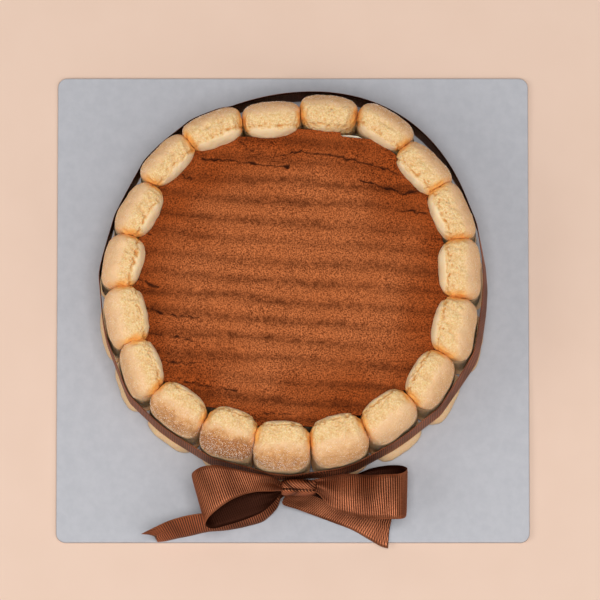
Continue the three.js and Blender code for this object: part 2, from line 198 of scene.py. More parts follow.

# Both edges of each strip, near those of the part, with the ends carried on into the knot. face
# says which side is left bright, the other side being painted with shade, belly how far the strip
# crowns, notch how deep its cut end goes in and slant how far its ribs lean over its width.
BOW_STRIPS = {
    "bow_loop_left": {
        "rear": [
            (-3, -100.5, 31), (-8, -98.5, 34.5), (-12.5, -97, 38), (-23, -95.5, 42), (-33, -93.5, 44),
            (-41, -92, 44.5), (-48.5, -92.5, 42.5), (-53, -94.5, 38.5), (-54, -96, 34), (-52.5, -97.5, 30.5),
            (-46, -98.5, 29), (-34, -99, 28.5), (-22, -99.5, 28), (-13.5, -100, 26), (-8, -100.5, 24.5),
            (-3, -101.5, 24),
        ],
        "front": [
            (-3, -103.5, 29.5), (-7.5, -104, 32.5), (-10.5, -104.8, 36.5), (-19.5, -106, 41.5),
            (-27, -108.2, 43.8), (-34, -111.5, 44.5), (-41, -116.3, 43), (-45.5, -120.3, 39.5),
            (-46.5, -123, 34.5), (-43, -124, 30.5), (-35.5, -122, 28.5), (-25, -118.5, 27.5),
            (-16.5, -114.5, 26.5), (-11, -109.5, 25), (-7.5, -105.5, 23.5), (-3, -103.5, 23),
        ],
        "knot_ends": (1, 1),
        "face": 1,
    },
    "bow_loop_right": {
        "rear": [
            (6.5, -99.5, 30.5), (10, -98.2, 31.5), (13.5, -97.2, 32), (21.5, -95.5, 31.5),
            (30, -94.4, 31.5), (39.5, -95.2, 32), (49, -95.6, 36.5), (56.5, -95, 35), (60, -93, 30.5),
            (61, -89.8, 23), (57.5, -87.5, 17), (50, -87, 13.5), (41.5, -88.5, 12.5),
            (31, -93.3, 14.5), (20, -98, 18), (13.5, -99.5, 21), (10, -100, 22.5), (6.5, -100.5, 23.5),
        ],
        "front": [
            (6.5, -103, 29.5), (10, -103.4, 30), (13.5, -105.4, 31.5), (20.5, -113.2, 33),
            (31, -117.6, 34.5), (40.5, -119.4, 35.5), (50, -119.4, 34), (56.5, -119.2, 33),
            (59.5, -117.8, 28), (60.5, -115, 22), (57.5, -112.5, 16), (50, -110.5, 13),
            (40.5, -109.5, 12), (29.5, -109, 14), (19, -107.5, 17.5), (13.5, -105.5, 20),
            (10, -104.5, 21.5), (6.5, -103.8, 22.5),
        ],
        "knot_ends": (1, 1),
        "face": -1,
        "belly": 2.5,
    },
    "bow_tail_left": {
        "rear": [
            (-4, -102, 18), (-8, -102.5, 15), (-12, -105.5, 18), (-19, -109, 22), (-28.5, -112.5, 25),
            (-38, -114, 26), (-48, -115, 26.5), (-57.5, -116.6, 27), (-66.5, -119.3, 27), (-74, -122.8, 27),
            (-81, -126.3, 26.5),
        ],
        "front": [
            (-3, -103.5, 17), (-6.5, -104.5, 11.5), (-9, -109.5, 8), (-15.5, -115.5, 4.4), (-25, -118.5, 4),
            (-35, -120.5, 4), (-46, -121.5, 4), (-54.5, -123.5, 4), (-62, -125, 4), (-68.5, -126.5, 4),
            (-72.5, -127, 4),
        ],
        "knot_ends": (1, 0),
        "face": 1,
        "notch": 4.5,
    },
    "bow_tail_right": {
        "rear": [
            (0, -101.5, 18.5), (3, -100.5, 14.5), (10.5, -101.5, 12), (20, -102, 8.5), (31, -101.5, 6),
            (41.5, -102.5, 4.6), (49, -104, 4.2), (53.5, -105.5, 4.2), (55, -106, 4.2),
        ],
        "front": [
            (-4.5, -104.5, 17.5), (-5.5, -107.8, 13), (2.5, -110.2, 9.5), (12, -113.2, 6), (22, -116.7, 4.4),
            (32, -120.6, 4), (40.5, -125.5, 4), (47.5, -129.5, 4), (51, -130.5, 4),
        ],
        "knot_ends": (0.5, 0),
        "face": -1,
        "notch": 1.2,
        "slant": -9,
    },
}


# Numbers that look random but repeat on every run

def scatter(cells, seed):
    """A number from 0 to 1 for each whole-number cell, which the primes below mix well."""
    mixed = cells[..., 0] * 73856093 ^ cells[..., 1] * 19349663 ^ cells[..., 2] * 83492791
    mixed = (mixed ^ seed * 2654435761) & 0xFFFFFFFF
    for _ in range(2):
        mixed = ((mixed ^ mixed >> 16) * 0x45D9F3B) & 0xFFFFFFFF
    return (mixed ^ mixed >> 16) / 0xFFFFFFFF


def noise(points, size, seed):
    """Smooth noise from -1 to 1 whose lumps are about size across."""
    scaled = points / size
    low = np.floor(scaled).astype(np.int64)
    share = scaled - low
    share = share * share * (3 - 2 * share)
    total = np.zeros(points.shape[:-1])
    for corner in itertools.product((0, 1), repeat=3):
        weight = np.prod(np.where(corner, share, 1 - share), axis=-1)
        total += weight * scatter(low + corner, seed)
    return total * 2 - 1


def pores(points, spacing, seed):
    """How deep, from 0 to 1, a point lies in the round holes strewn about spacing apart."""
    scaled = points / spacing
    low = np.floor(scaled).astype(np.int64)
    deepest = np.zeros(points.shape[:-1])
    for offset in itertools.product((-1, 0, 1), repeat=3):
        cell = low + offset
        middle = cell + np.stack([scatter(cell, seed + axis) for axis in range(3)], axis=-1)
        reach = 0.25 + 0.35 * scatter(cell, seed + 3)
        inside = 1 - np.linalg.norm(scaled - middle, axis=-1) / reach
        deepest = np.maximum(deepest, inside)
    return deepest


def ramp(value, low, high):
    """Rises smoothly from 0 at low to 1 at high."""
    share = np.clip((value - low) / (high - low), 0, 1)
    return share * share * (3 - 2 * share)


def path_length(points):
    """How far along a path each of its points lies."""
    steps = np.linalg.norm(np.diff(points, axis=0), axis=-1)
    return np.concatenate([[0], np.cumsum(steps)])


# Meshes from rows of points

def new_piece(name, points, face_groups, masks=None, corner_uvs=None):
    """A smooth mesh object. Points are millimetres; each face group has one row of corners a face."""
    corners = np.concatenate([group.ravel() for group in face_groups]).astype(np.int32)
    sizes = np.concatenate([np.full(len(group), group.shape[1]) for group in face_groups])
    starts = np.concatenate([[0], np.cumsum(sizes)[:-1]]).astype(np.int32)
    mesh = bpy.data.meshes.new(name)
    mesh.vertices.add(len(points))
    mesh.vertices.foreach_set("co", (points * MM).astype(np.float32).ravel())
    mesh.loops.add(len(corners))
    mesh.loops.foreach_set("vertex_index", corners)
    mesh.polygons.add(len(sizes))
    mesh.polygons.foreach_set("loop_start", starts)
    mesh.update(calc_edges=True)
    mesh.validate()
    mesh.shade_smooth()
    for mask_name, values in (masks or {}).items():
        layer = mesh.attributes.new(mask_name, "FLOAT", "POINT")
        layer.data.foreach_set("value", values.astype(np.float32).ravel())
    if corner_uvs is not None:
        layer = mesh.uv_layers.new(name="along_and_across")
        layer.data.foreach_set("uv", corner_uvs[corners].astype(np.float32).ravel())
    piece = bpy.data.objects.new(name, mesh)
    bpy.context.scene.collection.objects.link(piece)
    return piece


def grid_faces(rows, columns, closed_rows=False, closed_columns=False):
    """Four-cornered faces over points stored row by row."""
    row = np.arange(rows if closed_rows else rows - 1)
    column = np.arange(columns if closed_columns else columns - 1)
    row, column = np.meshgrid(row, column, indexing="ij")
    this_row, next_row = row * columns, (row + 1) % rows * columns
    beside = (column + 1) % columns
    faces = [this_row + column, this_row + beside, next_row + beside, next_row + column]
    return np.stack(faces, axis=-1).reshape(-1, 4)


def end_faces(rows, columns):
    """The two flat faces that close the first and the last ring of a tube."""
    column = np.arange(columns)
    return [column[::-1][None], (column + (rows - 1) * columns)[None]]


def unit(vectors):
    return vectors / np.maximum(np.linalg.norm(vectors, axis=-1, keepdims=True), 1e-9)


def ring_normals(points):
    """The outward direction at each point of closed rings stored one after the other."""
    beside = np.roll(points, -1, axis=1) - np.roll(points, 1, axis=1)
    return unit(np.cross(beside, np.gradient(points, axis=0)))


def dress(piece, material, slot, *nodes):
    """Gives a finished piece its material and its place in the part."""
    piece.data.materials.clear()
    piece.data.materials.append(material)
    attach(piece, "root")
    if nodes:
        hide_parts(*nodes)
    return piece


# Materials

def add_node(tree, kind, inputs=None, **settings):
    """A node with its settings made and each input linked to a socket or set to a value."""
    made = tree.nodes.new(kind)
    for key, value in settings.items():
        setattr(made, key, value)
    for key, value in (inputs or {}).items():
        if isinstance(value, bpy.types.NodeSocket):
            tree.links.new(value, made.inputs[key])
        else:
            made.inputs[key].default_value = value
    return made


def new_material(name, **constants):
    """A material whose shader sockets hold the given constants; returns it, its tree and shader."""
    material = bpy.data.materials.new(name)
    material.use_nodes = True
    shader = material.node_tree.nodes["Principled BSDF"]
    for socket, value in constants.items():
        shader.inputs[socket.replace("_", " ")].default_value = value
    return material, material.node_tree, shader


def colour(red, green, blue):
    return (red, green, blue, 1)


def blend_colours(tree, share, first, second):
    return add_node(tree, "ShaderNodeMix", {0: share, 6: first, 7: second}, data_type="RGBA").outputs[2]


def between(tree, value, low, high, to_low=0.0, to_high=1.0):
    """How far a value has come from low to high, as a number from to_low to to_high."""
    inputs = {"Value": value, "From Min": low, "From Max": high, "To Min": to_low, "To Max": to_high}
    return add_node(tree, "ShaderNodeMapRange", inputs).outputs[0]


def mask(tree, name):
    return add_node(tree, "ShaderNodeAttribute", attribute_name=name).outputs["Fac"]


def grain(tree, place, size, detail=2.0, roughness=0.5):
    """Noise on a piece's own coordinates with lumps about size millimetres across."""
    inputs = {"Vector": place, "Scale": 1 / (size * MM), "Detail": detail, "Roughness": roughness}
    return add_node(tree, "ShaderNodeTexNoise", inputs).outputs["Fac"]


def object_place(tree):
    return add_node(tree, "ShaderNodeTexCoord").outputs["Object"]


def bump(tree, shader, height, distance, strength):
    """Shades the surface as if height raised it by up to distance millimetres."""
    inputs = {"Height": height, "Distance": distance * MM, "Strength": strength}
    normal = add_node(tree, "ShaderNodeBump", inputs).outputs["Normal"]
    tree.links.new(normal, shader.inputs["Normal"])


def biscuit_material():
    material, tree, shader = new_material(
        "baked_sponge", Roughness=0.8, Subsurface_Weight=0.22, Subsurface_Scale=0.002,
        Specular_IOR_Level=0.2)
    shader.inputs["Subsurface Radius"].default_value = (1.0, 0.5, 0.2)
    place = object_place(tree)
    fine = grain(tree, place, 0.9, 3.0, 0.6)
    broad = grain(tree, place, 7, 2.0)
    light_share = between(tree, fine, 0.35, 0.65)
    crumb = blend_colours(tree, light_share, colour(0.76, 0.46, 0.185), colour(0.92, 0.69, 0.38))
    crust = blend_colours(tree, light_share, colour(0.85, 0.53, 0.265), colour(0.94, 0.67, 0.41))
    crust = blend_colours(tree, between(tree, broad, 0.35, 0.7), crust, colour(0.88, 0.57, 0.315))
    base = blend_colours(tree, mask(tree, "crust"), crumb, crust)
    skin = blend_colours(tree, between(tree, broad, 0.3, 0.7), colour(0.92, 0.665, 0.375),
                         colour(0.95, 0.725, 0.455))
    base = blend_colours(tree, mask(tree, "skin"), base, skin)
    # Painted glow: saturated orange where neighbouring biscuits touch stands in for light shining through
    # the sponge in the seams
    base = blend_colours(tree, mask(tree, "painted_seam_glow"), base, colour(0.88, 0.40, 0.085))
    pale_toast = blend_colours(tree, light_share, colour(0.62, 0.29, 0.10), colour(0.76, 0.44, 0.20))
    deep_toast = blend_colours(tree, light_share, colour(0.31, 0.110, 0.032), colour(0.54, 0.25, 0.098))
    toast = mask(tree, "toast")
    base = blend_colours(tree, between(tree, toast, 0.0, 0.45), base, pale_toast)
    base = blend_colours(tree, between(tree, toast, 0.4, 1.0), base, deep_toast)
    # Painted shade and glow: the crevice, the holes and the low fibres are darker and a saturated orange
    base = blend_colours(tree, mask(tree, "painted_hollow_shade"), base, colour(0.62, 0.255, 0.055))
    # Painted shadow: a thin dark line round some biscuits at about the height of the ribbon's upper edge
    base = blend_colours(tree, mask(tree, "painted_shadow_line"), base, colour(0.16, 0.06, 0.03))
    tree.links.new(base, shader.inputs["Base Color"])
    bump(tree, shader, fine, 0.3, 0.8)
    return material


def sugar_material():
    material, tree, shader = new_material("sugar", Roughness=0.25, Specular_IOR_Level=0.6)
    tint = grain(tree, object_place(tree), 3)
    base = blend_colours(tree, tint, colour(0.98, 0.84, 0.68), colour(1.0, 0.95, 0.88))
    tree.links.new(base, shader.inputs["Base Color"])
    return material


def cocoa_material():
    material, tree, shader = new_material("cocoa_powder", Roughness=0.95, Specular_IOR_Level=0.03)
    place = object_place(tree)
    powder = grain(tree, place, 0.72, 2.0, 0.6)
    broad = grain(tree, place, 20, 3.0)
    share = between(tree, powder, 0.36, 0.64)
    middle = blend_colours(tree, share, colour(0.145, 0.034, 0.010), colour(0.67, 0.200, 0.064))
    # Painted shade: towards the rim the cocoa is darker and redder, as if shaded by the biscuits round it
    outer = blend_colours(tree, share, colour(0.075, 0.014, 0.003), colour(0.44, 0.092, 0.018))
    base = blend_colours(tree, mask(tree, "outer"), middle, outer)
    base = blend_colours(tree, between(tree, broad, 0.4, 0.75, 0.0, 0.3), base, colour(0.42, 0.105, 0.026))
    # Painted shade in the troughs of the strokes
    base = blend_colours(tree, mask(tree, "painted_trough_shade"), base, colour(0.070, 0.015, 0.004))
    # Painted shade in the cracks
    base = blend_colours(tree, mask(tree, "crack"), base, colour(0.035, 0.009, 0.004))
    tree.links.new(base, shader.inputs["Base Color"])
    bump(tree, shader, grain(tree, place, 0.7, 2.0, 0.7), 0.35, 0.9)
    return material


def cream_material():
    material, tree, shader = new_material(
        "mascarpone", Roughness=0.42, Subsurface_Weight=0.25, Subsurface_Scale=0.004)
    place = object_place(tree)
    base = blend_colours(tree, grain(tree, place, 9), colour(0.86, 0.74, 0.55), colour(0.93, 0.85, 0.70))
    tree.links.new(base, shader.inputs["Base Color"])
    bump(tree, shader, grain(tree, place, 2.5, 3.0), 0.4, 0.5)
    return material


def board_material():
    material, tree, shader = new_material("laminated_card", Roughness=0.42, Specular_IOR_Level=0.45)
    place = object_place(tree)
    mottle = grain(tree, place, 5, 3.0, 0.6)
    base = blend_colours(tree, between(tree, mottle, 0.35, 0.65), colour(0.447, 0.457, 0.497),
                         colour(0.482, 0.490, 0.530))
    tree.links.new(base, shader.inputs["Base Color"])
    bump(tree, shader, mottle, 0.06, 0.4)
    return material


def ribbon_material():
    material, tree, shader = new_material(
        "grosgrain", Roughness=0.42, Metallic=0.55, Specular_IOR_Level=0.2)
    shader.inputs["Specular Tint"].default_value = colour(1.0, 0.58, 0.42)
    ribbon_uv = add_node(tree, "ShaderNodeUVMap", uv_map="along_and_across").outputs["UV"]
    threads = add_node(tree, "ShaderNodeMapping", {"Vector": ribbon_uv, "Scale": (0.25, 4.0, 1.0)})
    thread = grain(tree, threads.outputs[0], 1000, 1.0)
    base = blend_colours(tree, between(tree, thread, 0.3, 0.7), colour(0.42, 0.125, 0.050),
                         colour(0.66, 0.232, 0.110))
    # Painted shade: soft waves along the ribbon are darkened as if turned from the light, and so are the
    # creases at the knot
    stretched = add_node(tree, "ShaderNodeMapping", {"Vector": ribbon_uv, "Scale": (1.0, 0.35, 1.0)})
    wave = grain(tree, stretched.outputs[0], 15000, 1.0)
    base = blend_colours(tree, between(tree, wave, 0.58, 0.38, 0.0, 0.6), base, colour(0.12, 0.030, 0.011))
    base = blend_colours(tree, mask(tree, "creased"), base, colour(0.10, 0.024, 0.009))
    # Painted shade over the whole side of the ribbon that is not left bright, as inside the loops and the
    # band
    base = blend_colours(tree, mask(tree, "painted_shaded_side"), base, colour(0.028, 0.006, 0.002))
    # Painted shade in the valleys between the ribs
    base = blend_colours(tree, between(tree, mask(tree, "painted_groove_shade"), 0.1, 0.85), base,
                         colour(0.018, 0.004, 0.002))
    tree.links.new(base, shader.inputs["Base Color"])
    bump(tree, shader, thread, 0.08, 0.6)
    return material


# Ladyfingers

def biscuit_place(row):
    bearing, distance, turn, width, thickness, dent, foot = row
    out, facing = math.radians(bearing), math.radians(bearing + turn)
    return {
        "centre": CAKE_CENTRE + distance * np.array([math.cos(out), math.sin(out)]),
        "outward": np.array([math.cos(facing), math.sin(facing)]),
        "along": np.array([-math.sin(facing), math.cos(facing)]),
        "width": width,
        "thickness": thickness,
        "dent": dent,
        "foot": foot,
    }


PLACES = [biscuit_place(row) for row in BISCUITS]


def contact_planes(index):
    """Where a biscuit presses against its two neighbours: each plane's direction and offset."""
    place = PLACES[index]
    planes = []
    for step in (1, -1):
        other = PLACES[(index + step) % len(PLACES)]
        normal = other["centre"] - place["centre"]
        distance = np.linalg.norm(normal)
        normal = normal / distance
        reach = distance * place["width"] / (place["width"] + other["width"])
        planes.append((normal, place["centre"] @ normal + reach - TOUCH_GAP / 2))
    return planes


def superellipse(value):
    return np.sign(value) * np.abs(value) ** (2 / SECTION_POWER)


def even_angles(count):
    """Angles that space the points of a biscuit's outline evenly."""
    fine = np.linspace(0, 2 * math.pi, 4001)
    half_thickness, half_width = 11, 15
    depth, side = half_thickness * superellipse(np.cos(fine)), half_width * superellipse(np.sin(fine))
    travelled = path_length(np.stack([depth, side], axis=-1))
    wanted = (np.arange(count) + 0.5) / count * travelled[-1]
    return np.interp(wanted, travelled, fine)


BISCUIT_COLUMNS = 210
WALL_RINGS = 30
DOME_RINGS = 46
CAP_RINGS = 18
BISCUIT_ANGLES = even_angles(BISCUIT_COLUMNS)


def rounded_by(rounding, height):
    rise = np.clip((height - (BISCUIT_HEIGHT - rounding["height"])) / rounding["height"], 0, 1)
    return rounding["inset"] * (1 - np.sqrt(1 - rise * rise))


def biscuit_section(index, heights, angles=BISCUIT_ANGLES):
    """Plan outlines of one biscuit, one row for each height above the board."""
    place = PLACES[index]
    heights = np.asarray(heights, float)[:, None]
    rim = FOOT_RIM["inset"] * np.clip(1 - heights / FOOT_RIM["height"], 0, 1) ** 2
    rise = np.clip((heights - FOOT_RIM["height"]) / (FOOT_TOP - FOOT_RIM["height"]), 0, 1)
    inner = -place["thickness"] / 2 + rounded_by(INNER_ROUND, heights)
    outer = place["thickness"] / 2 + place["foot"] * (1 - rise ** 2) - rim - rounded_by(OUTER_ROUND, heights)
    half_width = place["width"] / 2 - rounded_by(SIDE_ROUND, heights)
    depth, side = superellipse(np.cos(angles)), superellipse(np.sin(angles))
    dent = np.where(depth > 0, place["dent"] * (1 - side * side), 0)
    out = (inner + outer) / 2 + (outer - inner) / 2 * depth - dent
    along = half_width * side * (1 + SECTION_TAPER * depth)
    points = place["centre"] + out[..., None] * place["outward"] + along[..., None] * place["along"]
    for normal, offset in contact_planes(index):
        points = points - np.maximum(points @ normal - offset, 0)[..., None] * normal
    return points


def biscuit_grid(index):
    """Rings up the wall, over the rounded end and in towards the middle of it."""
    shoulder = BISCUIT_HEIGHT - OUTER_ROUND["height"]
    wall = np.linspace(0, shoulder, WALL_RINGS, endpoint=False)
    dome = shoulder + OUTER_ROUND["height"] * np.sin(np.linspace(0, math.pi / 2, DOME_RINGS))
    heights = np.concatenate([wall, dome])
    plan = biscuit_section(index, heights)
    rise = BOARD_TOP + TOUCH_GAP + heights - (END_CROWN + END_ROOM) * ramp(heights, shoulder, BISCUIT_HEIGHT)
    rings = np.concatenate([plan, np.broadcast_to(rise[:, None, None], plan.shape[:2] + (1,))], axis=-1)
    share = np.linspace(1, 0, CAP_RINGS + 1)[1:-1, None, None]
    middle = rings[-1].mean(axis=0)
    cap = middle + (rings[-1] - middle) * share
    cap[..., 2] += END_CROWN * (1 - share[..., 0] ** 2)
    return np.concatenate([rings, cap])


def crumb_spots(index, points):
    """How far each point lies from the biscuit's inner side, and where it lies in the noise."""
    place = PLACES[index]
    flat = points[..., :2] - place["centre"]
    from_inner = flat @ place["outward"] + place["thickness"] / 2
    spot = np.stack([flat @ place["along"], from_inner, points[..., 2]], axis=-1)
    return from_inner, spot + CRUMB_STEP * index


def sponge_surface(index, points, from_inner, spot):
    """How far the sponge stands out at each point, and the masks of its bare surface, with painted shade and
    glow in its hollows and painted glow in its seams.
    """
    skin_width, coarse, crust_from = BAKES[index][:3]
    wander = noise(spot, 5, 11) * 0.7 + noise(spot, 2.1, 12) * 0.8 + noise(spot, 1.0, 13) * 0.35
    edge = from_inner + wander
    skin = 1 - ramp(edge, skin_width - 0.9, skin_width + 0.2)
    crust_start = crust_from * PLACES[index]["thickness"]
    crust = ramp(from_inner + noise(spot, 4, 14) * 1.6, crust_start - 2.5, crust_start + 2.5)
    bare = (1 - skin) * (1 - crust)
    # A broken crevice runs along the pale skin, and round holes lie beside it
    broken = ramp(noise(spot, 2.2, 15), -0.35, 0.3)
    crevice = (1 - ramp(np.abs(edge - skin_width - 0.9), 0.1, 0.95)) * broken
    beside = ramp(edge, skin_width, skin_width + 0.8)
    beside *= 1 - ramp(edge, skin_width + 2.5, skin_width + 5)
    wide_holes = beside * coarse * ramp(pores(spot, 2.1, 21), 0.1, 0.7)
    small_holes = bare * coarse * ramp(pores(spot, 1.5, 31), 0.1, 0.8)
    drawn_out = spot * np.array([1, 0.45, 1]) + from_inner[..., None] * np.array([0.35, 0, 0])
    fibres = noise(drawn_out, 1.8, 16)
    # How much painted shade and glow the crevice, the holes and the low fibres get
    painted_hollow_shade = 0.85 * crevice + 0.75 * wide_holes + 0.4 * small_holes - 0.35 * bare * fibres
    relief = noise(spot, 9, 17) * 0.4 + noise(spot, 3.6, 18) * 0.28
    relief += fibres * (0.06 + 0.42 * bare) + noise(spot, 1.2, 19) * (0.05 + 0.12 * bare)
    relief += SKIN_RELIEF * skin - CREVICE_DEPTH * crevice
    relief -= WIDE_HOLE_DEPTH * wide_holes + SMALL_HOLE_DEPTH * small_holes
    # Painted glow in the seams, strongest where a neighbour presses close
    painted_seam_glow = np.zeros_like(edge)
    for normal, offset in contact_planes(index):
        inside = offset - points[..., :2] @ normal
        painted_seam_glow = np.maximum(painted_seam_glow, 1 - ramp(inside + 0.9 * noise(spot, 3, 20), 0.6, 3.6))
    painted_seam_glow *= 0.9 * (1 - 0.6 * crust)
    masks = {"skin": skin, "crust": crust, "painted_seam_glow": painted_seam_glow, "painted_hollow_shade": 0.85 * np.clip(painted_hollow_shade, 0, 1)}
    return relief, masks


def baked_masks(index, heights, from_inner, spot):
    """The masks of what baking and sugaring left on a biscuit's outer side, and of a painted shadow line
    round it.
    """
    crust_from, brown, sugar = BAKES[index][2:]
    thickness = PLACES[index]["thickness"]
    reach = from_inner + noise(spot, 3, 22) * 1.6
    outward_share = ramp(reach, crust_from * thickness - 1, thickness * 0.9)
    # A thin painted shadow line round the outer part of the biscuit
    painted_shadow_line = 0.6 * (1 - ramp(np.abs(heights - SHADOW_LINE_HEIGHT), 0.6 * SHADOW_LINE_HALF, SHADOW_LINE_HALF))
    painted_shadow_line *= ramp(from_inner, 0.45 * thickness, 0.6 * thickness)
    painted_shadow_line *= index + 1 in SHADOW_LINE_BISCUITS
    return {
        "toast": outward_share * brown * (0.8 + 0.3 * noise(spot, 2.2, 23)),
        "painted_shadow_line": painted_shadow_line,
        "sugar": sugar * outward_share,
    }


def ladyfinger(index, material):
    points = biscuit_grid(index)
    from_inner, spot = crumb_spots(index, points)
    relief, masks = sponge_surface(index, points, from_inner, spot)
    points = points + ring_normals(points) * relief[..., None]
    points[..., 2] = np.clip(points[..., 2], BOARD_TOP + FOOT_CLEARANCE, None)
    masks.update(baked_masks(index, points[..., 2], from_inner, spot))
    for name in ("toast", "painted_seam_glow", "sugar"):
        masks[name] = masks[name] * ramp(points[..., 2], BAKED_FROM, BAKED_TO)
    # One point in the middle of the end closes it
    rows = len(points)
    points = np.concatenate([points.reshape(-1, 3), points[-1].mean(axis=0, keepdims=True)])
    masks = {name: np.append(values.ravel(), values[-1].mean()) for name, values in masks.items()}
    column = np.arange(BISCUIT_COLUMNS)
    last = (rows - 1) * BISCUIT_COLUMNS
    middle = np.full_like(column, len(points) - 1)
    fan = np.stack([last + column, last + (column + 1) % BISCUIT_COLUMNS, middle], axis=-1)
    wall = grid_faces(rows, BISCUIT_COLUMNS, closed_columns=True)
    name = f"ladyfinger_{index + 1:02d}"
    piece = new_piece(f"{name}_baked", points, [wall, fan, column[::-1][None]], masks)
    return dress(piece, material, "biscuit", name)


def joined_copy(name, pieces):
    """One loose mesh of several pieces with their masks, to scatter things on."""
    copies = []
    for piece in pieces:
        copy = piece.copy()
        copy.data = piece.data.copy()
        copy.parent = None
        bpy.context.scene.collection.objects.link(copy)
        copies.append(copy)
    with bpy.context.temp_override(active_object=copies[0], selected_editable_objects=copies):
        bpy.ops.object.join()
    copies[0].name = name
    return copies[0]


GRAIN_SIZE = 0.27
# The smallest and the largest grain, as shares of that size along their three sides
SMALLEST_GRAIN = (0.5, 0.5, 0.4)
LARGEST_GRAIN = (1.3, 1.1, 0.9)
GRAINS_PER_SQUARE_MM = 1.5


def sugar_tree(material):
    """Strews cubes over a mesh, as thickly as its sugar mask says."""
    tree = bpy.data.node_groups.new("strewn_sugar", "GeometryNodeTree")
    made = {}
    kinds = {"Geometry": "NodeSocketGeometry", "Grain size": "NodeSocketFloat",
             "Density": "NodeSocketFloat", "Seed": "NodeSocketInt"}
    for name, kind in kinds.items():
        made[name] = tree.interface.new_socket(name, in_out="INPUT", socket_type=kind)
    tree.interface.new_socket("Geometry", in_out="OUTPUT", socket_type="NodeSocketGeometry")
    given = add_node(tree, "NodeGroupInput").outputs
    sugar = add_node(tree, "GeometryNodeInputNamedAttribute", {"Name": "sugar"}, data_type="FLOAT")
    density = add_node(tree, "ShaderNodeMath", {0: sugar.outputs[0], 1: given["Density"]},
                       operation="MULTIPLY")
    spots = add_node(tree, "GeometryNodeDistributePointsOnFaces", {
        "Mesh": given["Geometry"], "Density": density.outputs[0], "Seed": given["Seed"]})
    size = add_node(tree, "ShaderNodeCombineXYZ", {
        "X": given["Grain size"], "Y": given["Grain size"], "Z": given["Grain size"]})
    cube = add_node(tree, "GeometryNodeMeshCube", {"Size": size.outputs[0]})
    turn = add_node(tree, "FunctionNodeRandomValue", {1: (6.28, 6.28, 6.28), "Seed": 5},
                    data_type="FLOAT_VECTOR")
    grow = add_node(tree, "FunctionNodeRandomValue", {0: SMALLEST_GRAIN, 1: LARGEST_GRAIN, "Seed": 6},
                    data_type="FLOAT_VECTOR")
    placed = add_node(tree, "GeometryNodeInstanceOnPoints", {
        "Points": spots.outputs["Points"], "Instance": cube.outputs["Mesh"],
        "Rotation": turn.outputs[0], "Scale": grow.outputs[0]})
    real = add_node(tree, "GeometryNodeRealizeInstances", {"Geometry": placed.outputs[0]})
    painted = add_node(tree, "GeometryNodeSetMaterial", {"Geometry": real.outputs[0], "Material": material})
    add_node(tree, "NodeGroupOutput", {"Geometry": painted.outputs[0]})
    return tree, {name: socket.identifier for name, socket in made.items()}


def sugar_grains(biscuits, material):
    carrier = joined_copy("sugar_carrier", biscuits)
    tree, sockets = sugar_tree(material)
    modifier = carrier.modifiers.new("strewn_sugar", "NODES")
    modifier.node_group = tree
    modifier[sockets["Grain size"]] = GRAIN_SIZE * MM
    modifier[sockets["Density"]] = GRAINS_PER_SQUARE_MM / MM ** 2
    modifier[sockets["Seed"]] = 4
    evaluated = carrier.evaluated_get(bpy.context.evaluated_depsgraph_get())
    mesh = bpy.data.meshes.new_from_object(evaluated)
    bpy.data.objects.remove(carrier)
    piece = bpy.data.objects.new("sugar_grains", mesh)
    bpy.context.scene.collection.objects.link(piece)
    return dress(piece, material, "biscuit")


# Cream and cocoa

COCOA_ROWS = 310
COCOA_COLUMNS = 310
RIM_BEARINGS = 720
# Bearings in degrees where the cocoa stops short of the gap between two biscuits, and how far out
COCOA_HOLES = [(13.5, 3, 83.5), (68.5, 3.5, 83), (30, 2, 84.5)]


def cocoa_rim(height):
    """Bearings and radii of the cocoa's edge, where it meets the biscuits or lies between them."""
    bearings = (np.arange(RIM_BEARINGS) + 0.5) / RIM_BEARINGS * 2 * math.pi - math.pi
    radii = np.full(RIM_BEARINGS, float(COCOA_LARGEST_RADIUS))
    for bearing, half, radius in COCOA_HOLES:
        away = np.abs(np.degrees(bearings) - bearing)
        radii = np.where(away < half, np.minimum(radii, radius), radii)
    for index in range(len(PLACES)):
        outline = biscuit_section(index, [height], even_angles(1200))[0] - CAKE_CENTRE
        cell = (np.arctan2(outline[:, 1], outline[:, 0]) + math.pi) / (2 * math.pi) * RIM_BEARINGS
        np.minimum.at(radii, cell.astype(int) % RIM_BEARINGS, np.hypot(outline[:, 0], outline[:, 1]))
    return bearings, radii


def chord_ends(across, bearings, radii):
    """How far left and right of the axis the cocoa reaches on each line across it."""
    ends = []
    for side in (-1, 1):
        low, high = np.zeros_like(across), np.full_like(across, COCOA_LARGEST_RADIUS)
        for _ in range(30):
            along = (low + high) / 2
            bearing = np.arctan2(across, side * along) + STROKE_TILT
            inside = np.hypot(across, along) < np.interp(bearing, bearings, radii, period=2 * math.pi)
            low, high = np.where(inside, along, low), np.where(inside, high, along)
        ends.append(side * low)
    return ends


def crack_depth(points):
    """From 0 to 1, how deep each point of the surface lies in a crack."""
    deepest = np.zeros(points.shape[:-1])
    wobble = np.stack([noise(points, 2.2, 41), noise(points, 2.2, 42)], axis=-1) * 0.8
    flat = points[..., :2] + wobble
    half_width = np.clip(CRACK_HALF_WIDTH + 0.30 * noise(points, 3, 43), CRACK_HALF_WIDTH / 2, None)
    broken = ramp(noise(points, 1.7, 44), -0.7, 0.1)
    for number, line in enumerate(COCOA_CRACKS):
        whole = 1 if number < OPEN_CRACKS else broken
        for start, end in zip(line, line[1:]):
            start, run = np.array(start, float), np.subtract(end, start)
            share = np.clip((flat - start) @ run / (run @ run), 0, 1)
            away = np.linalg.norm(flat - start - share[..., None] * run, axis=-1)
            deepest = np.maximum(deepest, whole * (1 - ramp(away - half_width, -0.2, 0.5)))
    return deepest


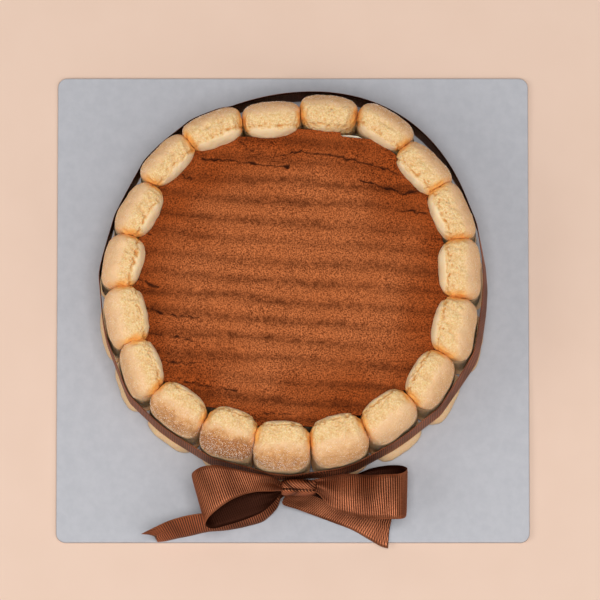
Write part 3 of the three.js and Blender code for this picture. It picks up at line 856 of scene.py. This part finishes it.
def cocoa_lines(underside):
    """How far along and across the strokes each point of the cocoa lies, in lines across it."""
    bearings, radii = cocoa_rim(underside - BOARD_TOP)
    # Lines across run from one end of the cream to the other, and stop where they get short
    across = np.linspace(-COCOA_LARGEST_RADIUS, COCOA_LARGEST_RADIUS, 4 * COCOA_ROWS)
    left, right = chord_ends(across, bearings, radii)
    long_enough = across[right - left > STROKE_PITCH]
    across = np.linspace(long_enough[0], long_enough[-1], COCOA_ROWS)
    left, right = chord_ends(across, bearings, radii)
    along = left[:, None] + (right - left)[:, None] * np.linspace(0, 1, COCOA_COLUMNS)
    return along, np.broadcast_to(across[:, None], along.shape)


def cocoa_relief(points, along, across):
    """How far the cocoa's top stands over the crown of its strokes, and its masks of painted shade in the
    troughs and cracks.
    """
    stretched = points * np.array([0.25, 1, 1])
    phase = (across + 1.5 * noise(stretched, 9, 51) + 0.8 * noise(stretched, 3, 52)) / STROKE_PITCH
    phase = phase - np.floor(phase)
    from_trough = np.minimum(phase, 1 - phase) * 2
    strength = np.clip(0.8 + 0.5 * noise(stretched, 14, 53), 0, 1)
    relief = STROKE_DEPTH * strength * (np.sqrt(from_trough) - 1)
    # Broad swells of the spread cream, then lumps down to the grain of the powder
    relief += 0.35 * np.sin(along / 19 + across / 31) * np.cos(across / 23)
    relief += 0.35 * noise(points, 13, 54) + 0.10 * noise(points, 2.6, 55) + 0.16 * noise(points, 1.1, 56)
    # Painted shade in the troughs, broken into specks
    speckle = 0.65 + 0.25 * noise(points, 3, 57) + 0.35 * noise(points, 1.3, 59)
    painted_trough_shade = 0.72 * strength * (1 - ramp(from_trough, 0, 0.8)) * speckle
    # The cracks are cut down and also painted with shade
    crack = crack_depth(points)
    return relief - CRACK_DEPTH * crack, {"crack": crack, "painted_trough_shade": np.clip(painted_trough_shade, 0, 1)}


def cocoa_powder(material):
    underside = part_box("mascarpone_cream")[1].z / MM + TOUCH_GAP
    along, across = cocoa_lines(underside)
    along_axis = np.array([math.cos(STROKE_TILT), math.sin(STROKE_TILT)])
    across_axis = np.array([-along_axis[1], along_axis[0]])
    plan = CAKE_CENTRE + along[..., None] * along_axis + across[..., None] * across_axis
    points = np.concatenate([plan, np.zeros(plan.shape[:2] + (1,))], axis=-1)
    relief, masks = cocoa_relief(points, along, across)
    crown = underside + COCOA_THICKNESS + STROKE_DEPTH
    points[..., 2] = np.clip(crown + relief, underside + COCOA_THINNEST, None)
    # The painted shade grows towards the rim
    masks["outer"] = ramp(np.hypot(along, across) + 10 * noise(points, 16, 58), 40, 82)
    # A wall goes down from the rim to the cream, and a fan closes the underside
    rim_rows, rim_columns = rim_of_grid(COCOA_ROWS, COCOA_COLUMNS)
    rim = rim_rows * COCOA_COLUMNS + rim_columns
    below = points[rim_rows, rim_columns].copy()
    below[:, 2] = underside
    lower = COCOA_ROWS * COCOA_COLUMNS + np.arange(len(rim))
    after = np.roll(np.arange(len(rim)), -1)
    wall = np.stack([rim, lower, lower[after], rim[after]], axis=-1)
    middle = np.array([[CAKE_CENTRE[0], CAKE_CENTRE[1], underside]])
    fan = np.stack([lower, np.full(len(rim), lower[-1] + 1), lower[after]], axis=-1)
    all_points = np.concatenate([points.reshape(-1, 3), below, middle])
    unseen = np.zeros(len(below) + 1)
    masks = {name: np.append(values.ravel(), unseen) for name, values in masks.items()}
    top = grid_faces(COCOA_ROWS, COCOA_COLUMNS)
    piece = new_piece("cocoa_powder", all_points, [top, wall, fan], masks)
    return dress(piece, material, "cocoa", "cocoa_dusting")


def rim_of_grid(rows, columns):
    """Row and column of the outer points, anticlockwise from the lower left."""
    bottom = [(0, column) for column in range(columns - 1)]
    right = [(row, columns - 1) for row in range(rows - 1)]
    top = [(rows - 1, column) for column in range(columns - 1, 0, -1)]
    left = [(row, 0) for row in range(rows - 1, 0, -1)]
    return np.array(bottom + right + top + left).T


# Board

def card_board(material):
    """The square card with rounded corners and a softened rim."""
    levels = [(0, BOARD_BEVEL), (BOARD_BEVEL, 0), (BOARD_TOP - BOARD_BEVEL, 0)]
    for turn in np.linspace(0, math.pi / 2, BOARD_BEVEL_STEPS + 1)[1:]:
        rise, inset = BOARD_BEVEL * (1 - math.sin(turn)), BOARD_BEVEL * (1 - math.cos(turn))
        levels.append((BOARD_TOP - rise, inset))
    middle = BOARD_HALF - BOARD_CORNER
    rings = []
    for z, inset in levels:
        reach = BOARD_CORNER - inset
        ring = []
        for quarter, (x, y) in enumerate([(1, -1), (1, 1), (-1, 1), (-1, -1)]):
            for step in range(BOARD_CORNER_STEPS + 1):
                angle = (quarter - 1 + step / BOARD_CORNER_STEPS) * math.pi / 2
                ring.append((x * middle + reach * math.cos(angle), y * middle + reach * math.sin(angle), z))
        rings.append(ring)
    points = np.array(rings)
    rows, columns = points.shape[:2]
    faces = [grid_faces(rows, columns, closed_columns=True), *end_faces(rows, columns)]
    piece = new_piece("laminated_board", points.reshape(-1, 3), faces)
    for face in piece.data.polygons:
        face.use_smooth = len(face.vertices) == 4
    return dress(piece, material, "board", "cake_board")


# Ribbon

def smooth_curve(points, shares):
    """Points of a centripetal curve through the given ones, as the part's own ribbon edges."""
    points = np.array(points, float)
    points = np.concatenate([[2 * points[0] - points[1]], points, [2 * points[-1] - points[-2]]])
    spans = len(points) - 3
    place = np.clip(np.asarray(shares) * spans, 0, spans)
    span = np.minimum(place.astype(int), spans - 1)
    share = (place - span)[:, None]
    before, start, end, after = (points[span + step] for step in range(4))
    neighbours = ((before, start), (start, end), (end, after))
    gap_before, gap, gap_after = (
        np.linalg.norm(b - a, axis=-1, keepdims=True) ** 0.5 for a, b in neighbours
    )
    leave = (start - before) / gap_before - (end - before) / (gap_before + gap) + (end - start) / gap
    arrive = (end - start) / gap - (after - start) / (gap + gap_after) + (after - end) / gap_after
    leave, arrive = leave * gap, arrive * gap
    square = -3 * start + 3 * end - 2 * leave - arrive
    cube = 2 * start - 2 * end + leave + arrive
    return start + leave * share + square * share ** 2 + cube * share ** 3


STEPS_PER_RIB = 4
# Shares of the ribbon's width at which its points lie
ACROSS = np.linspace(0, 1, 11)


def ribbon_places(length, closed, notch):
    """How far along the ribbon each point of its grid lies, in rows that run across it."""
    along = np.linspace(0, length, int(round(length / RIB_PITCH)) * STEPS_PER_RIB + 1)
    if closed:
        along = along[:-1]
    cut = notch * (1 - np.abs(2 * ACROSS - 1)) * (0.9 + 0.1 * np.cos(ACROSS * 37))
    placed = along[:, None] - ramp(along, length - TRIM_LENGTH, length)[:, None] * cut
    return np.clip(placed, 0, length)


def both_sides(lower, upper):
    """Columns once round a strip: out along its lower side and back along its upper one."""
    return np.concatenate([lower, upper[:, ::-1]], axis=1)


def ribbon_piece(name, edges, material, face, pleats, slant, closed=False, belly=0, notch=0):
    """A woven strip between its rear and front edge, with a rib every RIB_PITCH along it.

    face is 1 or -1 for the side that is left bright; the other side is painted with shade. pleats
    and slant give how deep the pleats are and how far the ribs lean at each place. belly is how far
    the strip crowns across its width, and notch how deep its far end is cut in.
    """
    if closed:
        edges = [np.concatenate([edge, edge[:1]]) for edge in edges]
    travelled = path_length((edges[0] + edges[1]) / 2)
    length = travelled[-1]
    placed = ribbon_places(length, closed, notch)
    rear, front = (
        np.stack([np.interp(placed, travelled, edge[:, axis]) for axis in range(3)], axis=-1)
        for edge in edges
    )
    sheet = rear * (1 - ACROSS[:, None]) + front * ACROSS[:, None]
    if closed:
        forward = np.roll(sheet, -1, axis=0) - np.roll(sheet, 1, axis=0)
    else:
        forward = np.gradient(sheet, axis=0)
    normal = unit(np.cross(forward, front - rear))
    depth = pleats(placed, length)
    folds = np.sin(ACROSS * math.pi * 2 * PLEATS + noise(sheet, 9, 71) * 1.2)
    crown = belly * ramp(placed, *BELLY_RISE) * (1 - ramp(placed, *BELLY_FALL))
    crown = crown * np.sin(ACROSS * math.pi)
    sheet = sheet + normal * (depth * folds + face * crown)[..., None]
    pitch = length / max(1, round(length / RIB_PITCH))
    lean = slant(placed, length) * (ACROSS - 0.5)
    wave = 0.5 + 0.5 * np.cos(2 * math.pi * (placed + lean) / pitch)
    from_edge = np.linalg.norm(front - rear, axis=-1) / 2 * (1 - np.abs(2 * ACROSS - 1))
    woven = ramp(from_edge, 0.15, SELVEDGE)
    half = (RIBBON_THICKNESS / 2 - RIB_HEIGHT + RIB_HEIGHT * wave * woven)[..., None]
    ring = both_sides(sheet - normal * half, sheet + normal * half)
    rows, columns = ring.shape[:2]
    uv = np.stack([placed, np.broadcast_to(ACROSS * RIBBON_WIDTH, placed.shape)], axis=-1)
    # Painted shade in the valleys between ribs, and some on the flat selvedge
    painted_groove_shade = (1 - wave) * woven + 0.35 * (1 - woven)
    # Painted shade in the pleats near the knot
    creased = depth * (0.5 + 0.4 * folds)
    masks = {
        "painted_groove_shade": both_sides(painted_groove_shade, painted_groove_shade),
        "creased": both_sides(creased, creased),
        # Painted shade over the side of the strip that is not left bright
        "painted_shaded_side": both_sides(np.full_like(placed, face > 0), np.full_like(placed, face < 0)),
    }
    faces = [grid_faces(rows, columns, closed_rows=closed, closed_columns=True)]
    if not closed:
        faces += end_faces(rows, columns)
    uv = both_sides(uv, uv)
    piece = new_piece(f"{name}_woven", ring.reshape(-1, 3), faces, masks, uv.reshape(-1, 2))
    dress(piece, material, "ribbon", name)
    return piece, length


def hull_supports(height):
    """How far the ring of biscuits reaches at a height, seen from each whole degree."""
    outlines = [biscuit_section(index, [height])[0] for index in range(len(PLACES))]
    facing = np.radians(np.arange(360))
    directions = np.stack([np.cos(facing), np.sin(facing)])
    return ((np.concatenate(outlines) - CAKE_CENTRE) @ directions).max(axis=0)


def hull_radius(supports, bearing):
    """How far out a ribbon pulled tight round the ring lies at each bearing.

    A biscuit holds it out only at bearings within 60 degrees of the side that it faces.
    """
    lean = np.cos(bearing[:, None] - np.radians(np.arange(360))[None])
    return np.where(lean > 0.5, supports / np.maximum(lean, 0.5), np.inf).min(axis=1)


def fading(away, fade):
    """1 close to the knot, falling to 0 as far away from it as the fade reaches."""
    return 1 - ramp(away, fade["from"], fade["to"])


BAND_SAMPLES = 1440


def ribbon_band(material):
    share = np.arange(BAND_SAMPLES) / BAND_SAMPLES
    bearing = share * 2 * math.pi + KNOT_BEARING
    from_knot = np.degrees(np.minimum(share, 1 - share) * 2 * math.pi)
    gather = np.maximum(0, 1 - from_knot / GATHER_DEGREES)
    half = RIBBON_WIDTH / 2 * (1 - (1 - GATHER_SHARE) * gather)
    middle = RIBBON_BOTTOM + RIBBON_WIDTH / 2
    near = np.maximum(0, np.cos(bearing - BAND_BULGE_BEARING))
    loose = BAND_LOOSE_RADIUS + BAND_BULGE * near ** BAND_BULGE_POWER
    lean = BAND_LEAN * np.maximum(0, np.cos(bearing - BAND_LEAN_BEARING)) ** BAND_LEAN_POWER
    edges = []
    for side, level, further in ((-1, RIBBON_BOTTOM, lean), (1, middle, 0)):
        hull = hull_radius(hull_supports(level - BOARD_TOP), bearing)
        radius = np.maximum(hull + RIBBON_CLEARANCE, loose) + RIBBON_THICKNESS / 2 + further
        flat = CAKE_CENTRE + radius[:, None] * np.stack([np.cos(bearing), np.sin(bearing)], axis=-1)
        edges.append(np.concatenate([flat, (middle + side * half)[:, None]], axis=-1))

    def pleats(placed, length):
        return BAND_PLEATS["depth"] * fading(np.minimum(placed, length - placed), BAND_PLEATS)

    def slant(placed, length):
        return BAND_SLANT["lean"] * fading(np.minimum(placed, length - placed), BAND_SLANT)

    piece, length = ribbon_piece("ribbon_band", edges, material, 1, pleats, slant, closed=True)


def bow_strip(name, material):
    strip = BOW_STRIPS[name]
    shares = np.linspace(0, 1, 600)
    rear, front = (smooth_curve(strip[edge], shares) for edge in ("rear", "front"))
    near_start, near_end = strip["knot_ends"]

    def pleats(placed, length):
        start = near_start * fading(placed, BOW_PLEATS)
        end = near_end * fading(length - placed, BOW_PLEATS)
        return BOW_PLEATS["depth"] * np.maximum(start, end)

    def slant(placed, length):
        return strip.get("slant", 0)

    piece, length = ribbon_piece(name, (rear, front), material, strip["face"], pleats, slant,
                                 belly=strip.get("belly", 0), notch=strip.get("notch", 0))


def bow_knot(material):
    """One turn of creased ribbon round the middle of the bow."""
    rows, columns = 72, 180
    across = np.linspace(-1, 1, rows)[:, None]
    angle = np.linspace(0, 2 * math.pi, columns, endpoint=False)[None]
    swell = 0.72 + 0.28 * np.sqrt(np.maximum(0, 1 - across ** 4))
    points = np.stack([
        KNOT_CENTRE[0] + KNOT_HALF[0] * across + 0 * angle,
        KNOT_CENTRE[1] + KNOT_HALF[1] * swell * superellipse(np.cos(angle)),
        KNOT_CENTRE[2] + KNOT_HALF[2] * swell * superellipse(np.sin(angle)),
    ], axis=-1)
    # A deep fold parts a roll at the front from the slanting ribs behind it
    fold = np.exp(-((angle - KNOT_FOLD["angle"] - 0.15 * across) / KNOT_FOLD["half"]) ** 2)
    crease = np.abs(np.sin(across * 2.4 + 0.9 * np.sin(angle * 2) + 0.6 * np.sin(angle) + 0.8))
    slanting = (points[..., 0] + points[..., 1] + 0.5 * points[..., 2]) / (RIB_PITCH * math.sqrt(2))
    rib = 0.5 + 0.5 * np.cos(2 * math.pi * slanting)
    relief = -KNOT_CREASE_DEPTH * (1 - np.sqrt(crease)) - RIB_HEIGHT * (1 - rib) - KNOT_FOLD["depth"] * fold
    points = points + ring_normals(points) * relief[..., None]
    # Painted shade in the rib valleys, the creases and the deep fold of the knot
    painted_groove_shade = np.clip(0.7 * (1 - rib) + 0.5 * (1 - crease) ** 2 + 0.9 * fold, 0, 1)
    uv = np.stack([angle * KNOT_HALF[2] + 0 * across, (across + 1) * KNOT_HALF[0] + 0 * angle], axis=-1)
    faces = [grid_faces(rows, columns, closed_columns=True), *end_faces(rows, columns)]
    piece = new_piece("bow_knot_wrapped", points.reshape(-1, 3), faces, {"painted_groove_shade": painted_groove_shade},
                      uv.reshape(-1, 2))
    return dress(piece, material, "ribbon", "bow_knot")


# Stage

CAMERA_ELEVATION = math.radians(79.5)
CAMERA_DISTANCE = 5500
CAMERA_AIM = (3.8, 5.75, 0)
CAMERA_HALF_FIELD = 161.7
SENSOR = 36
FLOOR_HALF = 20000
FLOOR_LEVEL = -0.2
WORLD_STRENGTH = 0.24
# Name, azimuth, elevation, distance and size in metres, power and tint of each soft light
SOFT_LIGHTS = [
    ("overhead", 10, 79, 2.4, 1.0, 33, (1.0, 0.99, 0.98)),
    ("key", -75, 45, 2.2, 1.2, 11, (1.0, 0.99, 0.97)),
    ("fill", 45, 48, 2.2, 1.2, 6, (1.0, 0.98, 0.96)),
]


def set_up(name, data, back, place):
    """A camera or a light at a place, looking the opposite way to back."""
    holder = bpy.data.objects.new(name, data)
    bpy.context.scene.collection.objects.link(holder)
    holder.location = place
    holder.rotation_euler = (-back).to_track_quat("-Z", "Y").to_euler()
    return holder


def camera():
    data = bpy.data.cameras.new("camera")
    data.sensor_width = SENSOR
    data.lens = SENSOR / 2 * CAMERA_DISTANCE / CAMERA_HALF_FIELD
    data.clip_end = 100
    back = Vector((0, -math.cos(CAMERA_ELEVATION), math.sin(CAMERA_ELEVATION)))
    place = (Vector(CAMERA_AIM) + back * CAMERA_DISTANCE) * MM
    bpy.context.scene.camera = set_up("camera", data, back, place)


def soft_light(name, azimuth, elevation, distance, size, power, tint):
    """A square light looking at the cake from an azimuth seen as the camera's is."""
    data = bpy.data.lights.new(name, "AREA")
    data.size = size
    data.energy = power
    data.color = tint
    side, rise = math.radians(azimuth), math.radians(elevation)
    back = Vector((math.sin(side) * math.cos(rise), -math.cos(side) * math.cos(rise), math.sin(rise)))
    set_up(name, data, back, back * distance).visible_camera = False


def floor():
    corners = [(-1, -1), (1, -1), (1, 1), (-1, 1)]
    points = np.array([(x * FLOOR_HALF, y * FLOOR_HALF, FLOOR_LEVEL) for x, y in corners])
    piece = new_piece("floor", points, [np.array([[0, 1, 2, 3]])])
    material, tree, shader = new_material("pale_floor", Roughness=0.8, Specular_IOR_Level=0.1)
    tint = grain(tree, object_place(tree), 30)
    base = blend_colours(tree, tint, colour(0.80, 0.59, 0.47), colour(0.84, 0.63, 0.51))
    tree.links.new(base, shader.inputs["Base Color"])
    piece.data.materials.append(material)


def studio():
    world = bpy.data.worlds.new("studio")
    world.use_nodes = True
    background = world.node_tree.nodes["Background"]
    background.inputs["Color"].default_value = colour(1.0, 0.99, 0.98)
    background.inputs["Strength"].default_value = WORLD_STRENGTH
    bpy.context.scene.world = world
    bpy.context.scene.view_settings.view_transform = "Standard"
    for light in SOFT_LIGHTS:
        soft_light(*light)


camera()
studio()
floor()
sponge = biscuit_material()
biscuits = [ladyfinger(index, sponge) for index in range(len(BISCUITS))]
sugar_grains(biscuits, sugar_material())
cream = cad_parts["mascarpone_cream"]
cream.data.materials.clear()
cream.data.materials.append(cream_material())
cocoa_powder(cocoa_material())
card_board(board_material())
grosgrain = ribbon_material()
bow_knot(grosgrain)
ribbon_band(grosgrain)
for strip_name in BOW_STRIPS:
    bow_strip(strip_name, grosgrain)
